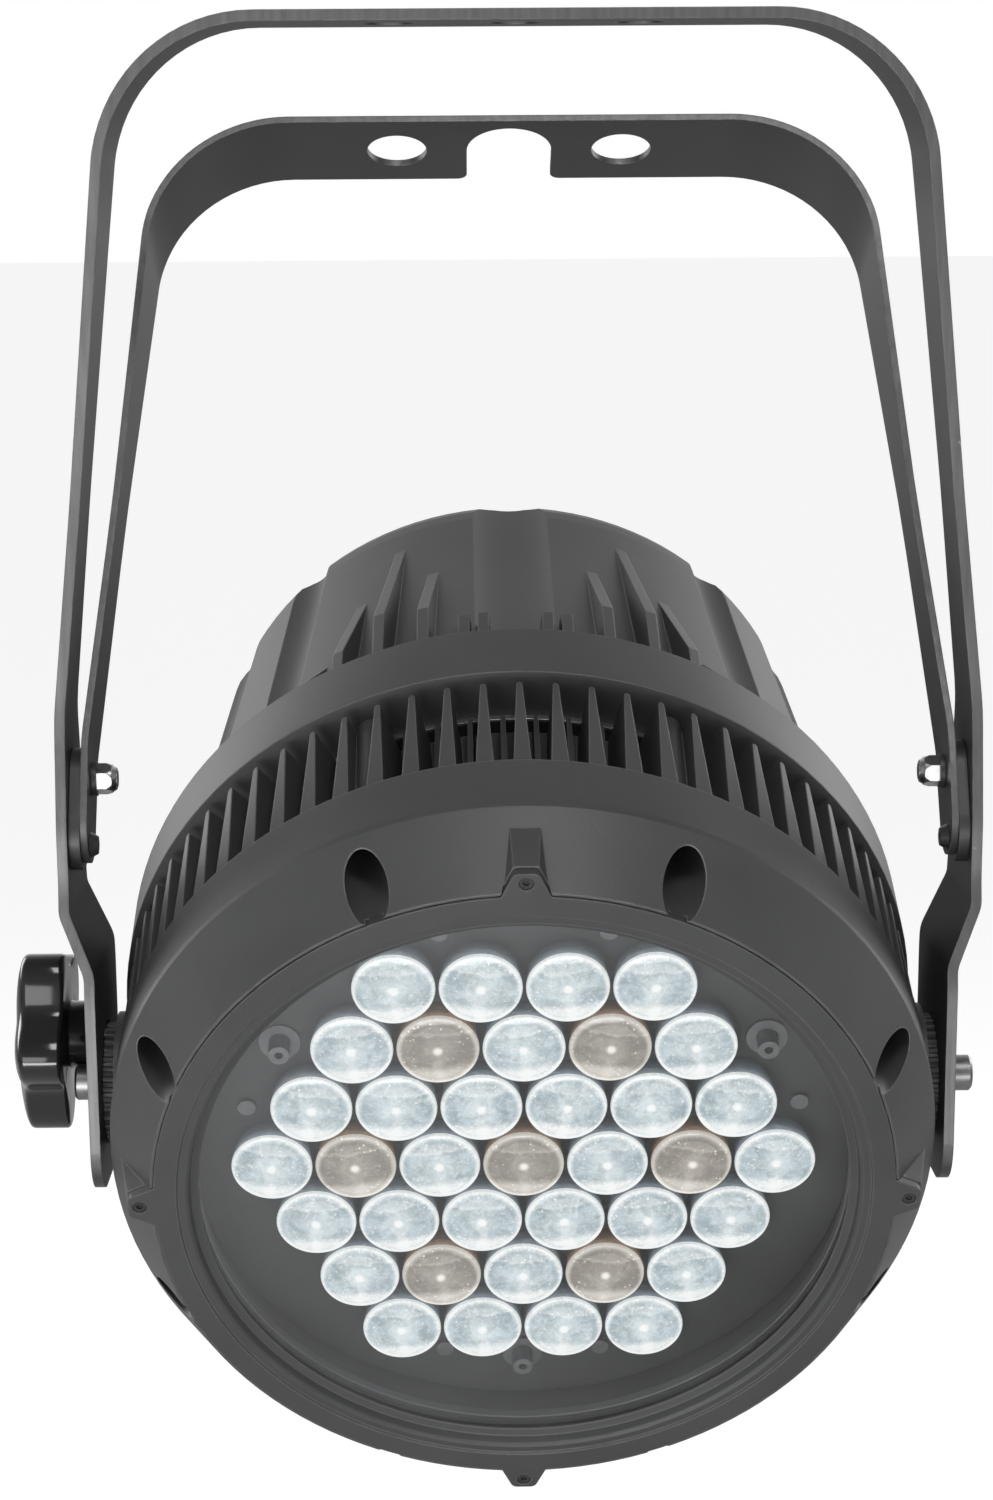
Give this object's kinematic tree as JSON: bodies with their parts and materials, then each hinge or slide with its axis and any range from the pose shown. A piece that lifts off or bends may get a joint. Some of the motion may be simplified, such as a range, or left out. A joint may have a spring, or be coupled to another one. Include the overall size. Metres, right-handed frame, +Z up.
{
  "type": "led par can light",
  "caption": "Zooming LED par can hung in a double yoke: finned round head behind a flat glass and a clear lens array, with a star lock knob.",
  "frame": {"origin": "centre of the middle clamp hole, halfway through the hanging yoke's bar; the tilt axis is 303 mm below it", "axes": "+X along the tilt axis away from the lock knob, front of the light towards -Y, +Z up along the hanging yoke"},
  "size_m": [0.2833, 0.3014, 0.4294],
  "materials": {
    "yoke_steel": "satin black powder coat on bent strip, slightly polished along the edges",
    "zinc_plated": "bright zinc plate",
    "bolt_steel": "dull turned steel",
    "black_steel": "black oxide",
    "black_nylon": "moulded nylon",
    "housing_paint": "charcoal satin powder coat on an aluminium die casting",
    "cover_paint": "charcoal satin powder coat on an aluminium die casting",
    "knob_plastic": "polished black moulding",
    "front_glass": "flat toughened glass",
    "seal_rubber": "soft silicone",
    "aluminium_plain": "as machined",
    "mask_plastic": "fine matt",
    "lens_clear": "clear moulded optic",
    "lens_amber": "clear moulded optic over an amber emitter",
    "led_board_white": "white solder mask",
    "led_phosphor": "phosphor dome",
    "bush_brass": "turned",
    "bright_steel": "ground or plated steel",
    "circuit_green": "green solder mask",
    "display_dark": "smoked window",
    "key_rubber": "moulded key tops",
    "socket_blue": "moulded insulator",
    "socket_grey": "moulded insulator",
    "socket_black": "moulded insulator in a metal shell"
  },
  "bodies": {
    "yoke": {"main_yoke": "yoke_steel", "stand_pivot_studs": "bolt_steel", "stand_lock_nuts": "zinc_plated", "stand_washers": "black_nylon", "tilt_pivot_bolts": "bolt_steel"},
    "head": {"housing_screws": "black_steel", "bezel_screws": "black_steel", "panel_screws": "black_steel", "led_board_screws": "black_steel", "friction_discs": "black_nylon", "board_standoffs": "black_nylon", "front_housing": "housing_paint", "bezel_ring": "housing_paint", "rear_cover": "cover_paint", "end_panel": "cover_paint", "front_glass": "front_glass", "glass_gasket": "seal_rubber", "sink_seal": "seal_rubber", "heat_sink": "aluminium_plain", "power_supply": "aluminium_plain", "led_board": "led_board_white", "led_emitters": "led_phosphor", "tilt_bushes": "bush_brass", "guide_posts": "bright_steel", "zoom_motor": "bright_steel", "safety_eye": "bright_steel", "electronics_tray": "bright_steel", "led_driver_board": "circuit_green", "key_board": "circuit_green", "display_module": "circuit_green", "display_window": "display_dark", "power_inlet": "socket_blue", "power_outlet": "socket_grey", "data_in_socket": "socket_black", "data_out_socket": "socket_black"},
    "stand": {"stand_yoke": "yoke_steel", "stand_spacers": "black_nylon", "stand_stop_screws": "black_steel"},
    "knob": {"tilt_knob": "knob_plastic", "knob_stud": "bolt_steel", "knob_washer": "black_steel"},
    "zoom": {"lens_carrier": "aluminium_plain", "lens_mask": "mask_plastic", "lenses_cool": "lens_clear", "lenses_warm": "lens_amber", "zoom_bushes": "bush_brass", "zoom_nut": "bush_brass", "mask_screws": "black_steel"},
    "lead_screw": {"zoom_lead_screw": "bright_steel"},
    "key_1": {"menu_key_1": "key_rubber"},
    "key_2": {"menu_key_2": "key_rubber"},
    "key_3": {"menu_key_3": "key_rubber"},
    "key_4": {"menu_key_4": "key_rubber"}
  },
  "joints": [
    {"name": "head_tilt", "type": "hinge", "parent": "yoke", "child": "head", "pos_m": [0, 0, -0.303], "axis": [1, 0, 0], "range_deg": [-111.3, 68.7]},
    {"name": "stand_fold", "type": "hinge", "parent": "yoke", "child": "stand", "pos_m": [0, 0, -0.2115], "axis": [-1, 0, 0], "range_deg": [-28.5, 21.5]},
    {"name": "knob_turn", "type": "hinge", "parent": "head", "child": "knob", "pos_m": [0, 0.00975, -0.29083], "axis": [1, 0, 0], "continuous": true},
    {"name": "lens_zoom", "type": "slide", "parent": "head", "child": "zoom", "axis": [0, -0.9317, -0.3633], "range_m": [-0.018, 0.004]},
    {"name": "lead_screw_spin", "type": "hinge", "parent": "head", "child": "lead_screw", "pos_m": [0, 0.0287, -0.3766], "axis": [0, -0.9317, -0.3633], "range_deg": [-812, 182]},
    {"name": "key_1_press", "type": "slide", "parent": "head", "child": "key_1", "axis": [0, -0.9317, -0.3633], "range_m": [0, 0.001]},
    {"name": "key_2_press", "type": "slide", "parent": "head", "child": "key_2", "axis": [0, -0.9317, -0.3633], "range_m": [0, 0.001]},
    {"name": "key_3_press", "type": "slide", "parent": "head", "child": "key_3", "axis": [0, -0.9317, -0.3633], "range_m": [0, 0.001]},
    {"name": "key_4_press", "type": "slide", "parent": "head", "child": "key_4", "axis": [0, -0.9317, -0.3633], "range_m": [0, 0.001]}
  ],
  "couplings": [
    {"joint": "lead_screw_spin", "follows": "lens_zoom", "rad_per_m": 785.4}
  ]
}
